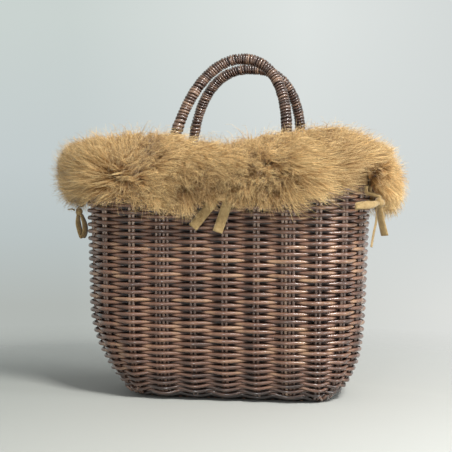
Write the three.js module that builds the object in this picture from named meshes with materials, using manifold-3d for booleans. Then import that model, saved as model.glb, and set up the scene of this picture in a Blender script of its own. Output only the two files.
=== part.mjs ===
// Lacquered reed basket bag with two cane-wrapped handles and a tied-on fur collar.
// Millimetres, +Z up, the front of the bag faces -Y, origin at the centre of the base on the floor.
import * as THREE from "three";
import Module from "manifold-3d";

// Body of the basket, measured on the outer face of the weave
const topLength = 275;
const topDepth = 148;
const topCorner = 60;
const baseLength = 180;
const baseDepth = 88;
const baseCorner = 30;
const baseShift = 7;
const shiftHeight = 85;
const wallTop = 218;
const wallThickness = 9;
const bowlHeight = 105;
const bowlFlare = 0.92;
const bowlRoundness = 2.4;
const bowlEase = 0.62;
const centreShift = 6;

// Reeds
const reedDiameter = 3;
const reedGap = 0.35;
const groupCount = 24;
const groupPitch = 29.4;
const steadyGroups = 3;
const legGroupStep = 2;
const pairWidth = 6.8;
const stakeFlatShare = 0.55;
const stakeTopGap = 0.5;
const fitGap = 0.3;

// Base
const footHeight = 7;
const footTuck = 5;
const baseStickCount = 5;
const baseStickWidth = 6;
const baseStickThickness = 3;
const baseStickPitch = 13;
const baseStickEndGap = 12;

// Rolled border on top of the wall
const borderHeight = 9;
const borderOverhang = 1.5;
const borderRound = 2.2;
const borderFootInset = 0.4;

// Handles: an arch of bundled reeds wound with a flat strip. The legs tuck in above the border by a
// share of the half span, and both arches lean inward and to the right.
const bundleRadius = 3.6;
const frontHandleRise = 93.8;
const frontHandleLean = 11.2;
const frontSquareness = 2.14;
const frontLeftTuck = 0.14;
const frontRightTuck = 0.075;
const backHandleRise = 89.8;
const backHandleLean = 9.5;
const backSquareness = 2.39;
const backTuck = 0.055;
const archTuckHeight = 0.15;
const archInward = 32;
const archInwardPower = 1.2;
const legSink = 1;
const wrapTurns = 30;
const wrapThickness = 1.4;
const wrapFill = 0.83;
const wrapSeatGap = 2;
const wrapEndRun = 3.5;
const wrapEndShare = 0.45;
const wrapEndTurn = 0.8;
const wrapCrown = 0.7;

// Fur collar with its lining band, open at one slit near the right-hand end
const collarClearance = 0.6;
const liningThickness = 1.5;
const liningBottom = 204;
const liningTop = 234;
const furThickness = 25;
const furSkin = 2.1;
const furRoundness = 2.7;
const furInnerShare = 0.93;

// Lower and upper edge of the fur round the bag: share of the loop, bottom, top. It stands
// highest beside the handles' legs, and is cut up short over the right-hand tie.
const furEdges = [
  [0, 180, 243], [0.05, 181, 252], [0.1, 187, 257], [0.14, 200, 260], [0.17, 205, 253], [0.2, 201, 247],
  [0.215, 196, 243], [0.225, 189, 241], [0.27, 184, 236], [0.34, 182, 247], [0.4, 181, 249],
  [0.5, 180, 245], [0.6, 180, 250], [0.7, 180, 246], [0.775, 183, 243], [0.83, 181, 247],
  [0.885, 179, 255], [0.93, 176, 253], [0.97, 179, 245], [1, 180, 243],
];
const slitShare = 0.2;
const slitWidth = 4;

// Ribbon ties
const ribbonWidth = 10;
const ribbonThickness = 1.2;
const knotLength = 8;
const knotRadius = 3.6;
const rightKnotRadius = 4.6;
const rightKnotOut = 14;
const rightKnotHeight = 188;
const leftTieShare = 0.775;
const leftKnotOut = 7.5;
const leftKnotHeight = 175;

// Resolution of the faceted solids
const pointsPerGroup = 3;
const bundleSides = 8;
const archSteps = 30;
const furSteps = 72;
const furSectionAngles = [90, 66, 45, 24, 0, -24, -45, -66, -90];
const archSamples = 720;
const wrapStepsPerTurn = 8;
const cutMargin = 1;

// Values that follow from the sizes above
const reedInset = wallThickness / 2;
const borderBottom = wallTop + fitGap;
const rimTop = borderBottom + borderHeight;
const wallBottom = footHeight + fitGap;
const lacquer = { colour: 0x4a2c24, roughness: 0.35 };
const lacquerDark = { colour: 0x3a211b, roughness: 0.4 };
const fur = { colour: 0xc0a070, roughness: 0.95 };
const cloth = { colour: 0x6b5a3c, roughness: 0.9 };
const suede = { colour: 0xb49a5e, roughness: 0.85 };

const bag = new THREE.Group();

function addPiece(name, geometry, finish) {
  const material = new THREE.MeshStandardMaterial({
    color: finish.colour, roughness: finish.roughness, metalness: 0, side: THREE.FrontSide,
  });
  const mesh = new THREE.Mesh(geometry, material);
  mesh.name = name;
  bag.add(mesh);
}

function mix(from, to, share) {
  return from + (to - from) * share;
}

// How far the wall has opened from the base (0) to the rim (1) at a height.
// It swells like a bowl up to bowlHeight, then runs on almost straight.
function flareAt(z) {
  if (z >= bowlHeight) {
    return mix(bowlFlare, 1, (z - bowlHeight) / (wallTop - bowlHeight));
  }
  const rise = Math.max(z, 0) / bowlHeight;
  return bowlFlare * Math.pow(1 - Math.pow(1 - rise, bowlRoundness), bowlEase);
}

// The loop of the wall at a height. The base stands a little to the right of the rim, and the
// wall comes in line with the rim by shiftHeight.
function planAt(z, inset) {
  const flare = flareAt(Math.min(z, wallTop));
  const settled = Math.min(Math.max(z / shiftHeight, 0), 1);
  return {
    halfLength: mix(baseLength, topLength, flare) / 2 - inset,
    halfDepth: mix(baseDepth, topDepth, flare) / 2 - inset,
    corner: mix(baseCorner, topCorner, flare) - inset,
    shift: baseShift * (1 - settled * settled * (3 - 2 * settled)),
  };
}

// Distance along a half loop from one centre to the other, once it has passed so many groups.
// The groups nearest to both centres keep their pitch, and the ones between share what is left.
function routeAt(route, passed) {
  const toPass = groupCount / 2;
  const steady = steadyGroups * groupPitch;
  if (passed <= steadyGroups) {
    return passed * groupPitch;
  }
  if (passed >= toPass - steadyGroups) {
    return route - (toPass - passed) * groupPitch;
  }
  return steady + (passed - steadyGroups) * (route - 2 * steady) / (toPass - 2 * steadyGroups);
}

// Point on a rounded rectangle. share runs from 0 at the front centre round by the
// right-hand end to 0.5 at the back centre and on to 1. Both centres sit at x = centreShift.
function loopPoint(plan, share) {
  const corner = Math.min(plan.corner, plan.halfLength, plan.halfDepth);
  const flatX = plan.halfLength - corner;
  const flatY = plan.halfDepth - corner;
  const arc = corner * Math.PI / 2;
  const half = 2 * flatX + 2 * flatY + 2 * arc;
  const turn = share - Math.floor(share);
  const onRight = turn <= 0.5;
  const side = onRight ? 1 : -1;
  const passed = (onRight ? turn : turn - 0.5) * groupCount;
  const fromMiddle = centreShift - plan.shift;
  const start = onRight ? fromMiddle : half - fromMiddle;
  let left = (start + routeAt(half - side * 2 * fromMiddle, passed) + 2 * half) % (2 * half);
  const runs = [
    [flatX, 0, 0, -plan.halfDepth, -90],
    [arc, 1, flatX, -flatY, -90],
    [2 * flatY, 0, plan.halfLength, -flatY, 0],
    [arc, 1, flatX, flatY, 0],
    [2 * flatX, 0, flatX, plan.halfDepth, 90],
    [arc, 1, -flatX, flatY, 90],
    [2 * flatY, 0, -plan.halfLength, flatY, 180],
    [arc, 1, -flatX, -flatY, 180],
    [flatX, 0, -flatX, -plan.halfDepth, -90],
  ];
  for (const [length, curved, x, y, degrees] of runs) {
    if (left > length) {
      left -= length;
      continue;
    }
    const start = degrees * Math.PI / 180;
    const angle = curved ? start + left / corner : start;
    const nx = Math.cos(angle);
    const ny = Math.sin(angle);
    return curved
      ? { x: plan.shift + x + corner * nx, y: y + corner * ny, nx, ny }
      : { x: plan.shift + x - ny * left, y: y + nx * left, nx, ny };
  }
  return { x: plan.shift, y: -plan.halfDepth, nx: 0, ny: -1 };
}

// Point beside the wall: along is measured round the loop, out is outward from the outer face.
function wallPoint(share, z, out, along = 0) {
  const p = loopPoint(planAt(z, 0), share);
  return [p.x + p.nx * out - p.ny * along, p.y + p.ny * out + p.nx * along, z];
}

function closedGeometry(positions, triangles) {
  const geometry = new THREE.BufferGeometry();
  geometry.setAttribute("position", new THREE.Float32BufferAttribute(positions.flat(), 3));
  geometry.setIndex(triangles.flat());
  geometry.computeVertexNormals();
  return geometry;
}

// Closed solid through rings of equal point count. Each ring runs counterclockwise
// when looked at against the direction in which the rings advance.
function loftRings(rings) {
  const count = rings[0].length;
  const triangles = [];
  for (let i = 0; i < rings.length - 1; i++) {
    for (let j = 0; j < count; j++) {
      const k = (j + 1) % count;
      const a = i * count + j;
      const b = i * count + k;
      triangles.push([a, b, b + count], [a, b + count, a + count]);
    }
  }
  const end = (rings.length - 1) * count;
  for (let j = 1; j < count - 1; j++) {
    triangles.push([0, j + 1, j], [end, end + j, end + j + 1]);
  }
  return closedGeometry(rings.flat(), triangles);
}

const wasm = await Module();
wasm.setup();

function toSolid(geometry) {
  return new wasm.Manifold(new wasm.Mesh({
    numProp: 3,
    vertProperties: new Float32Array(geometry.attributes.position.array),
    triVerts: new Uint32Array(geometry.index.array),
  }));
}

function cutAway(geometry, cutters) {
  const rest = cutters.reduce((solid, cutter) => solid.subtract(toSolid(cutter)), toSolid(geometry));
  const mesh = rest.getMesh();
  const result = new THREE.BufferGeometry();
  result.setAttribute("position", new THREE.BufferAttribute(new Float32Array(mesh.vertProperties), 3));
  result.setIndex(new THREE.BufferAttribute(new Uint32Array(mesh.triVerts), 1));
  return result;
}

const groups = Array.from({ length: groupCount }, (_, index) => {
  const halfway = groupCount / 2;
  const fromCentre = Math.min(index % halfway, halfway - (index % halfway));
  return { index, share: index / groupCount, carriesHandle: fromCentre === legGroupStep };
});
const fourReedWidth = pairWidth + 2 * (reedDiameter + reedGap);

function loopRing(z, inset) {
  const count = groupCount * pointsPerGroup;
  const plan = planAt(z, inset);
  return Array.from({ length: count }, (_, index) => {
    const p = loopPoint(plan, index / count);
    return [p.x, p.y, z];
  });
}

const wallHeights = [wallBottom, 15, 26, 44, 70, bowlHeight, wallTop];

// The same heights run past both ends, for a tool that cuts right through
function past(heights) {
  return [heights[0] - cutMargin, ...heights, heights[heights.length - 1] + cutMargin];
}

function loopLoft(heights, inset) {
  return loftRings(heights.map((z) => loopRing(z, inset)));
}

// Upright slot in the weave round one group of stakes
function slotLoft(group) {
  const width = (group.carriesHandle ? fourReedWidth : pairWidth) / 2 + reedGap;
  const depth = reedDiameter / 2 + reedGap;
  const corners = [[-width, depth], [width, depth], [width, -depth], [-width, -depth]];
  return loftRings(past(wallHeights).map((z) => corners.map(
    ([along, out]) => wallPoint(group.share, z, out - reedInset, along),
  )));
}

addPiece("wall_weave", cutAway(loopLoft(wallHeights, 0), [
  loopLoft(past(wallHeights), wallThickness), ...groups.map(slotLoft),
]), lacquer);

// Woven base: a foot ring of thick weavers, the mat inside it and the base sticks on the mat
const footHeights = [0, footHeight / 2, footHeight];
const footFace = loftRings(footHeights.map((z) => loopRing(z, footTuck * (1 - z / footHeight))));
addPiece("foot_ring", cutAway(footFace, [loopLoft(past(footHeights), wallThickness)]), lacquerDark);

const matInset = wallThickness + fitGap;
addPiece("base_mat", loopLoft(footHeights, matInset), lacquer);

for (let index = 0; index < baseStickCount; index++) {
  const y = (index - (baseStickCount - 1) / 2) * baseStickPitch;
  const length = baseLength - 2 * (matInset + baseStickEndGap);
  const stick = new THREE.BoxGeometry(length, baseStickWidth, baseStickThickness);
  stick.translate(baseShift, y, footHeight + fitGap + baseStickThickness / 2);
  addPiece(`base_stick_${index + 1}`, stick, lacquerDark);
}

// Upright stakes: a pair in most groups, and one on each side of a handle's leg
function reedRing(share, z, along, width) {
  const w = width / 2;
  const d = reedDiameter / 2;
  const flat = w * stakeFlatShare;
  const section = [[-w, 0], [-flat, d], [flat, d], [w, 0], [flat, -d], [-flat, -d]];
  return section.map(([u, v]) => wallPoint(share, z, v - reedInset, along + u));
}

const stakeHeights = [...wallHeights.slice(0, -1), wallTop - stakeTopGap];

for (const group of groups) {
  const label = String(group.index + 1).padStart(2, "0");
  if (!group.carriesHandle) {
    const rings = stakeHeights.map((z) => reedRing(group.share, z, 0, pairWidth));
    addPiece(`stake_pair_${label}`, loftRings(rings), lacquerDark);
    continue;
  }
  const side = (fourReedWidth - reedDiameter) / 2;
  for (const [name, along] of [["a", -side], ["b", side]]) {
    const rings = stakeHeights.map((z) => reedRing(group.share, z, along, reedDiameter));
    addPiece(`stake_${label}${name}`, loftRings(rings), lacquerDark);
  }
}

// Border rolled along the top of the wall, with a hole for each handle leg
const legHoleRadius = bundleRadius + reedGap;
const borderProfile = [
  [0, borderFootInset], [borderRound, -borderOverhang], [borderHeight - borderRound, -borderOverhang],
  [borderHeight, 0],
];
const legGroups = groups.filter((group) => group.carriesHandle);

function legHole(group) {
  const [x, y] = wallPoint(group.share, wallTop, -reedInset);
  const heights = past([borderBottom, rimTop]);
  return loftRings(heights.map((z) => Array.from({ length: bundleSides }, (_, index) => {
    const angle = (index + 0.5) * 2 * Math.PI / bundleSides;
    return [x + legHoleRadius * Math.cos(angle), y + legHoleRadius * Math.sin(angle), z];
  })));
}

function borderLoft(profile, insetOf) {
  return loftRings(profile.map(([rise, inset]) => loopRing(wallTop, insetOf(inset)).map(
    ([x, y]) => [x, y, borderBottom + rise],
  )));
}

const borderBore = [
  [-cutMargin, borderFootInset], ...borderProfile, [borderHeight + cutMargin, 0],
];
addPiece("rim_border", cutAway(borderLoft(borderProfile, (inset) => inset), [
  borderLoft(borderBore, (inset) => wallThickness - inset), ...legGroups.map(legHole),
]), lacquer);

// Handles. Each bundle of reeds runs down inside the weave at both ends, at the shares of the
// left and the right leg.
const arches = [
  {
    name: "front", centre: 0, inward: 1, rise: frontHandleRise, lean: frontHandleLean,
    squareness: frontSquareness, leftTuck: frontLeftTuck, rightTuck: frontRightTuck,
  },
  {
    name: "back", centre: 0.5, inward: -1, rise: backHandleRise, lean: backHandleLean,
    squareness: backSquareness, leftTuck: backTuck, rightTuck: backTuck,
  },
];

function legShares({ centre, inward }) {
  const step = inward * legGroupStep / groupCount;
  return [centre - step, centre + step];
}

function archPoint(arch, turn) {
  const [left, right] = legShares(arch).map((share) => wallPoint(share, wallTop, -reedInset));
  const angle = Math.PI * turn;
  const power = 2 / arch.squareness;
  const across = -Math.sign(Math.cos(angle)) * Math.pow(Math.abs(Math.cos(angle)), power);
  const lift = Math.pow(Math.max(Math.sin(angle), 0), power);
  const fullTuck = across < 0 ? arch.leftTuck : arch.rightTuck;
  const tuck = 1 - fullTuck * (1 - Math.exp(-Math.pow(lift / archTuckHeight, 2)));
  const halfSpan = (right[0] - left[0]) / 2;
  return new THREE.Vector3(
    (left[0] + right[0]) / 2 + halfSpan * across * tuck + arch.lean * lift,
    left[1] + arch.inward * archInward * Math.pow(lift, archInwardPower),
    rimTop + arch.rise * lift,
  );
}

// The arch as evenly spaced points, each with its tangent and two square directions
function archFrames(arch, steps) {
  const dense = Array.from(
    { length: archSamples + 1 }, (_, index) => archPoint(arch, index / archSamples),
  );
  const reach = [0];
  for (let index = 1; index < dense.length; index++) {
    reach.push(reach[index - 1] + dense[index].distanceTo(dense[index - 1]));
  }
  const total = reach[reach.length - 1];
  const at = (distance) => {
    const wanted = Math.min(Math.max(distance, 0), total);
    let index = reach.findIndex((value) => value >= wanted);
    index = Math.max(index, 1);
    const share = (wanted - reach[index - 1]) / (reach[index] - reach[index - 1]);
    return dense[index - 1].clone().lerp(dense[index], share);
  };
  const span = total / (steps * 4);
  return Array.from({ length: steps + 1 }, (_, index) => {
    const distance = total * index / steps;
    const point = at(distance);
    const tangent = at(distance + span).sub(at(distance - span)).normalize();
    const out = new THREE.Vector3(0, 1, 0).addScaledVector(tangent, -tangent.y).normalize();
    const side = new THREE.Vector3().crossVectors(out, tangent).normalize();
    return { point, tangent, out, side, distance, total };
  });
}

function bundleRing(centre, side, out, sideRadius, outRadius) {
  return Array.from({ length: bundleSides }, (_, index) => {
    const angle = (index + 0.5) * 2 * Math.PI / bundleSides;
    return centre.clone()
      .addScaledVector(side, sideRadius * Math.cos(angle))
      .addScaledVector(out, outRadius * Math.sin(angle))
      .toArray();
  });
}

// A leg inside the weave, flat from the foot to the top of the wall, then round in the border
function legRings(share, tangent) {
  const toCorner = 1 / Math.cos(Math.PI / bundleSides);
  const flat = wallHeights.map((z) => ({
    z, sideRadius: pairWidth / 2 * toCorner, outRadius: reedDiameter / 2 * toCorner,
  }));
  const round = { z: borderBottom + legSink, sideRadius: bundleRadius, outRadius: bundleRadius };
  const out = new THREE.Vector3(0, 1, 0);
  const side = new THREE.Vector3().crossVectors(out, tangent);
  return [...flat, round].map(({ z, sideRadius, outRadius }) => {
    const [x, y] = wallPoint(share, Math.min(z, wallTop), -reedInset);
    return bundleRing(new THREE.Vector3(x, y, z), side, out, sideRadius, outRadius);
  });
}

function handleBundle(arch) {
  const [left, right] = legShares(arch);
  const rising = legRings(left, new THREE.Vector3(0, 0, 1));
  const falling = legRings(right, new THREE.Vector3(0, 0, -1)).reverse();
  const above = archFrames(arch, archSteps).map(
    (frame) => bundleRing(frame.point, frame.side, frame.out, bundleRadius, bundleRadius),
  );
  return loftRings([...rising, ...above, ...falling]);
}

// Flat strip wound round the bundle as one unbroken piece. At both ends it narrows,
// turns along the leg and runs straight down to the border.
function handleWrap(arch) {
  const frames = archFrames(arch, wrapTurns * wrapStepsPerTurn);
  const total = frames[0].total;
  const inner = (bundleRadius + fitGap) / Math.cos(Math.PI / wrapStepsPerTurn);
  const firstTurn = wrapSeatGap + 2 * wrapEndRun;
  const windLength = total - 2 * firstTurn;
  const width = windLength / wrapTurns * wrapFill;
  const stepAngle = 2 * Math.PI / wrapStepsPerTurn;
  const endAngle = stepAngle * wrapEndTurn;
  const steps = wrapTurns * wrapStepsPerTurn;
  const end = [
    { distance: wrapSeatGap, angle: -endAngle, share: wrapEndShare },
    { distance: wrapSeatGap + wrapEndRun, angle: -endAngle, share: wrapEndShare },
    { distance: wrapSeatGap + 1.6 * wrapEndRun, angle: -endAngle * 0.7, share: (1 + wrapEndShare) / 2 },
  ];
  const winding = Array.from({ length: steps + 1 }, (_, index) => ({
    distance: firstTurn + windLength * index / steps, angle: stepAngle * index, share: 1,
  }));
  const otherEnd = end.map(({ distance, angle, share }) => ({
    distance: total - distance, angle: stepAngle * steps - angle, share,
  })).reverse();
  const placed = [...end, ...winding, ...otherEnd].map(({ distance, angle, share }) => {
    const frame = frames[Math.round(distance / total * (frames.length - 1))];
    const radial = frame.side.clone().multiplyScalar(Math.cos(angle))
      .addScaledVector(frame.out, Math.sin(angle));
    const point = frame.point.clone()
      .addScaledVector(frame.tangent, distance - frame.distance)
      .addScaledVector(radial, inner);
    return { point, radial, width: width * share };
  });
  const last = placed.length - 1;
  const rings = placed.map(({ point, radial, width: stripWidth }, index) => {
    const before = placed[index === last ? last - 1 : Math.max(index - 1, 0)].point;
    const after = placed[index === 0 ? 1 : Math.min(index + 1, last)].point;
    const run = after.clone().sub(before).normalize();
    const side = new THREE.Vector3().crossVectors(radial, run).normalize();
    return stripRing(point, side, radial, stripWidth);
  });
  const gap = leastGap(rings);
  console.log(`${arch.name}_handle_wrap: least gap to itself ${gap.toFixed(2)} mm on points`);
  return loftRings(rings);
}

function stripRing(point, side, radial, width) {
  const half = width / 2;
  const section = [
    [-half, 0], [half, 0], [half * 0.8, wrapThickness * wrapCrown], [0, wrapThickness],
    [-half * 0.8, wrapThickness * wrapCrown],
  ];
  return section.map(([across, out]) => point.clone()
    .addScaledVector(side, across)
    .addScaledVector(radial, out)
    .toArray());
}

// Smallest distance between the points of each turn and the next one
function leastGap(rings) {
  let least = Infinity;
  for (let i = 0; i < rings.length; i++) {
    const last = Math.min(i + wrapStepsPerTurn + 3, rings.length);
    for (let j = i + wrapStepsPerTurn - 2; j < last; j++) {
      for (const a of rings[i]) {
        for (const b of rings[j]) {
          least = Math.min(least, Math.hypot(a[0] - b[0], a[1] - b[1], a[2] - b[2]));
        }
      }
    }
  }
  return least;
}

for (const arch of arches) {
  addPiece(`${arch.name}_handle_bundle`, handleBundle(arch), lacquerDark);
  addPiece(`${arch.name}_handle_wrap`, handleWrap(arch), lacquer);
}

// Fur collar: an open ring that stands clear of the border all the way up, so that it lifts off
const collarIn = borderOverhang + collarClearance;
const furIn = collarIn + liningThickness + fitGap;

function collarPoint(share, out, z) {
  const p = loopPoint(planAt(wallTop, 0), share);
  return [p.x + p.nx * out, p.y + p.ny * out, z];
}

// Loft a section round the collar from one side of the slit to the other
function collarLoft(steps, sectionAt) {
  const plan = planAt(wallTop, 0);
  const loopLength = 4 * (plan.halfLength + plan.halfDepth) - (8 - 2 * Math.PI) * plan.corner;
  const halfSlit = slitWidth / 2 / loopLength;
  return loftRings(Array.from({ length: steps + 1 }, (_, index) => {
    const share = slitShare + halfSlit + (1 - 2 * halfSlit) * index / steps;
    return sectionAt(share).map(([out, z]) => collarPoint(share, out, z));
  }));
}

function furEdgesAt(share) {
  const turn = share - Math.floor(share);
  const next = Math.max(1, furEdges.findIndex(([place]) => place >= turn));
  const [from, lowFrom, highFrom] = furEdges[next - 1];
  const [to, lowTo, highTo] = furEdges[next];
  const ease = (1 - Math.cos(Math.PI * (turn - from) / (to - from))) / 2;
  return [mix(lowFrom, lowTo, ease), mix(highFrom, highTo, ease)];
}

// Plump section: upright against the lining, and rounded over from the top to the bottom
function furSection(share) {
  const [bottom, top] = furEdgesAt(share);
  const middle = (bottom + top) / 2;
  const half = (top - bottom) / 2;
  const curve = furSectionAngles.map((degrees) => {
    const angle = degrees * Math.PI / 180;
    const rise = Math.sign(angle) * Math.pow(Math.abs(Math.sin(angle)), 2 / furRoundness);
    const reach = Math.pow(Math.max(Math.cos(angle), 0), 2 / furRoundness);
    return [furIn + mix(furSkin, furThickness, reach), middle + half * rise];
  });
  return [[furIn, middle - half * furInnerShare], [furIn, middle + half * furInnerShare], ...curve];
}

addPiece("fur_collar", collarLoft(furSteps, furSection), fur);
addPiece("collar_lining", collarLoft(furSteps, () => [
  [collarIn, liningBottom], [collarIn, liningTop],
  [collarIn + liningThickness, liningTop], [collarIn + liningThickness, liningBottom],
]), cloth);

// Ribbon ties are placed in a flat frame beside the collar: along the loop, outward, and up.
function tieFrame(share) {
  const p = loopPoint(planAt(wallTop, 0), share);
  return ([along, out, z]) => new THREE.Vector3(
    p.x + p.nx * out - p.ny * along, p.y + p.ny * out + p.nx * along, z,
  );
}

// Flat strap along hand-placed points. across points to one edge of the strap.
function strap(share, points, across, width = ribbonWidth) {
  const place = tieFrame(share);
  const origin = place([0, 0, 0]);
  const edge = place(across).sub(origin);
  const path = points.map(place);
  return loftRings(path.map((point, index) => {
    const before = path[Math.max(index - 1, 0)];
    const after = path[Math.min(index + 1, path.length - 1)];
    const run = after.clone().sub(before).normalize();
    const side = edge.clone().addScaledVector(run, -edge.dot(run)).normalize();
    const face = new THREE.Vector3().crossVectors(run, side);
    const corners = [[-1, -1], [1, -1], [1, 1], [-1, 1]];
    return corners.map(([u, v]) => point.clone()
      .addScaledVector(side, u * width / 2)
      .addScaledVector(face, v * ribbonThickness / 2)
      .toArray());
  }));
}

function knot(share, out, z, widest = knotRadius) {
  const place = tieFrame(share);
  const profile = [[-0.5, 0.55], [-0.25, 0.95], [0.25, 0.95], [0.5, 0.55]];
  return loftRings(profile.map(([up, size]) => Array.from({ length: bundleSides }, (_, index) => {
    const angle = -2 * Math.PI * index / bundleSides;
    const radius = widest * size;
    return place([radius * Math.cos(angle), out + radius * Math.sin(angle), z + knotLength * up]).toArray();
  })));
}

const hemOut = collarIn + ribbonThickness / 2;
const hemBottom = liningBottom - fitGap;
const alongWall = [1, 0, 0];
const upright = [0, 0, 1];

// Two tails of the centre tie hang from the lining over the weave, front and back
const tailApart = ribbonWidth * 0.6;
for (const [name, share] of [["front", 0], ["back", 0.5]]) {
  addPiece(`${name}_tie_tail_left`, strap(share, [
    [-tailApart, hemOut, hemBottom], [-tailApart, hemOut, hemBottom - 4],
    [-tailApart - 3, hemOut, hemBottom - 14], [-tailApart - 11, hemOut, hemBottom - 25],
    [-tailApart - 22, hemOut + 1.5, hemBottom - 39],
  ], alongWall), suede);
  addPiece(`${name}_tie_tail_right`, strap(share, [
    [tailApart, hemOut, hemBottom], [tailApart, hemOut, hemBottom - 4],
    [tailApart - 1.5, hemOut, hemBottom - 14], [tailApart - 6, hemOut + 0.4, hemBottom - 28],
    [tailApart - 11, hemOut + 1.5, hemBottom - 43],
  ], alongWall), suede);
}

// Right-hand tie: a knot with two strands, one loop and two tails, at the foot of the slit
const rightTop = rightKnotHeight + knotLength / 2 + fitGap;
const rightFoot = rightKnotHeight - knotLength / 2 - fitGap;
addPiece("right_tie_knot", knot(slitShare, rightKnotOut, rightKnotHeight, rightKnotRadius), suede);
for (const [name, side] of [["front", -1], ["back", 1]]) {
  addPiece(`right_tie_strand_${name}`, strap(slitShare, [
    [side * 4.5, hemOut, hemBottom], [side * 4.5, hemOut, hemBottom - 6],
    [side * 3, rightKnotOut - 5, rightTop + 3], [side * 1.6, rightKnotOut, rightTop + 1.2],
    [side * 1.6, rightKnotOut, rightTop],
  ], alongWall, ribbonWidth * 0.24), suede);
}
addPiece("right_tie_loop", strap(slitShare, [
  [-rightKnotRadius - fitGap, rightKnotOut + 1.6, rightKnotHeight],
  [-14, rightKnotOut + 0.4, rightKnotHeight - 1],
  [-24, rightKnotOut - 3.6, rightKnotHeight - 2], [-31, rightKnotOut - 8, rightKnotHeight - 3],
  [-28, rightKnotOut - 11, rightKnotHeight - 3], [-17, rightKnotOut - 6.4, rightKnotHeight - 1],
  [-rightKnotRadius - fitGap, rightKnotOut - 1.6, rightKnotHeight],
], upright, ribbonWidth * 0.8), suede);
const towardsFront = [-0.35, 1, 0];
addPiece("right_tie_tail_long", strap(slitShare, [
  [0, rightKnotOut + 0.6, rightFoot], [0.6, rightKnotOut + 1, rightFoot - 8],
  [2, rightKnotOut + 2.2, rightFoot - 16], [4, rightKnotOut + 4, rightFoot - 26],
], towardsFront), suede);
addPiece("right_tie_tail_short", strap(slitShare, [
  [5, rightKnotOut - 4.8, rightFoot - 0.2], [5, rightKnotOut - 5, rightFoot - 12],
  [3, rightKnotOut - 6.6, rightFoot - 24], [1, rightKnotOut - 8, rightFoot - 37],
], alongWall, ribbonWidth * 0.5), suede);

// Left-hand tie: a knot on one strand, with a hanging loop and a short tail
const leftTop = leftKnotHeight + knotLength / 2 + fitGap;
const leftFoot = leftKnotHeight - knotLength / 2 - fitGap;
addPiece("left_tie_knot", knot(leftTieShare, leftKnotOut, leftKnotHeight), suede);
addPiece("left_tie_strand", strap(leftTieShare, [
  [0, hemOut, hemBottom], [0, hemOut, hemBottom - 12], [0, hemOut, leftTop + 4.5],
  [0, leftKnotOut - 4, leftTop + 1.7], [0, leftKnotOut, leftTop + 1], [0, leftKnotOut, leftTop],
], alongWall, ribbonWidth * 0.5), suede);
addPiece("left_tie_loop", strap(leftTieShare, [
  [0, leftKnotOut + 1.2, leftFoot], [0, leftKnotOut + 2, leftFoot - 7],
  [0, leftKnotOut, leftFoot - 15], [0, leftKnotOut - 2.5, leftFoot - 20],
  [0, leftKnotOut - 5, leftFoot - 16], [0, leftKnotOut - 4.5, leftFoot - 8],
  [0, leftKnotOut - 1.2, leftFoot],
], alongWall), suede);
addPiece("left_tie_tail", strap(leftTieShare, [
  [0, leftKnotOut + knotRadius + fitGap, leftKnotHeight + 2],
  [0, leftKnotOut + knotRadius + 3, leftKnotHeight + 3.2],
  [0, leftKnotOut + knotRadius + 6.5, leftKnotHeight + 2.6],
], alongWall, ribbonWidth * 0.8), suede);

export default bag;
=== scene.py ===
import math

import bpy
import numpy as np
from mathutils import Matrix, Vector


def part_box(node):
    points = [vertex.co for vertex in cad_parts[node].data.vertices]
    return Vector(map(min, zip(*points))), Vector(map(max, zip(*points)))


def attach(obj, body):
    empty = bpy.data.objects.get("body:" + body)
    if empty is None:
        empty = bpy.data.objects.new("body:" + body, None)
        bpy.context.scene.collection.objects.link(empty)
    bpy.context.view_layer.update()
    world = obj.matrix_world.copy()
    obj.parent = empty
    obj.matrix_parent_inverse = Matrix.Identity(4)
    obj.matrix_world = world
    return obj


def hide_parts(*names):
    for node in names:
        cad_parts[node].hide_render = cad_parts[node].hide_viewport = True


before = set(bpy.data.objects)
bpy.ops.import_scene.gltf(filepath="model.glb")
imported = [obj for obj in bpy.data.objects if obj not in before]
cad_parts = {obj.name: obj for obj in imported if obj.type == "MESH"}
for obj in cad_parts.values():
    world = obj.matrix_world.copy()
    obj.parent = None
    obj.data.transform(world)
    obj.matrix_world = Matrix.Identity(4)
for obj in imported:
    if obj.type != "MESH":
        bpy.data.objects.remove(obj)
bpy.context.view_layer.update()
rng = np.random.default_rng(20)

MM = 0.001
IMAGE_SIZE = 452

# Sizes of the basket in millimetres, the same as the solids have
TOP_LENGTH, TOP_DEPTH, TOP_CORNER = 275, 148, 60
BASE_LENGTH, BASE_DEPTH, BASE_CORNER = 180, 88, 30
BASE_SHIFT, SHIFT_HEIGHT = 7, 85
WALL_TOP = 218
BOWL_HEIGHT, BOWL_FLARE, BOWL_ROUNDNESS, BOWL_EASE = 105, 0.92, 2.4, 0.62
CENTRE_SHIFT = 6
GROUP_COUNT = 24
HANDLE_GROUPS = (2, 10, 14, 22)
GROUP_PITCH = 29.4
STEADY_GROUPS = 3
REED_INSET = 4.5
REED_RADIUS = 1.5
PAIR_HALF_PITCH = 1.8
SINGLE_OUT = 5.25
RIM_TOP = 227.3
BORDER_BOTTOM = 218.3
FOOT_HEIGHT = 7
HEM_OUT, HEM_BOTTOM = 2.7, 203.7
LINING_BOTTOM, LINING_TOP = 204, 234
RIGHT_TIE, LEFT_TIE = 0.2, 0.775
UP = np.array([0, 0, 1])
# The four lower corners: share of the loop, how far the rows sag there, height of the reed ends
CORNERS = ((0.148, 4.4, 1.6), (0.855, 1.8, 5.0), (0.36, 3.0, 3.0), (0.64, 2.4, 3.6))


def mix(low, high, share):
    return low + (high - low) * share


def clamp(value):
    return np.clip(value, 0, 1)


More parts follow.
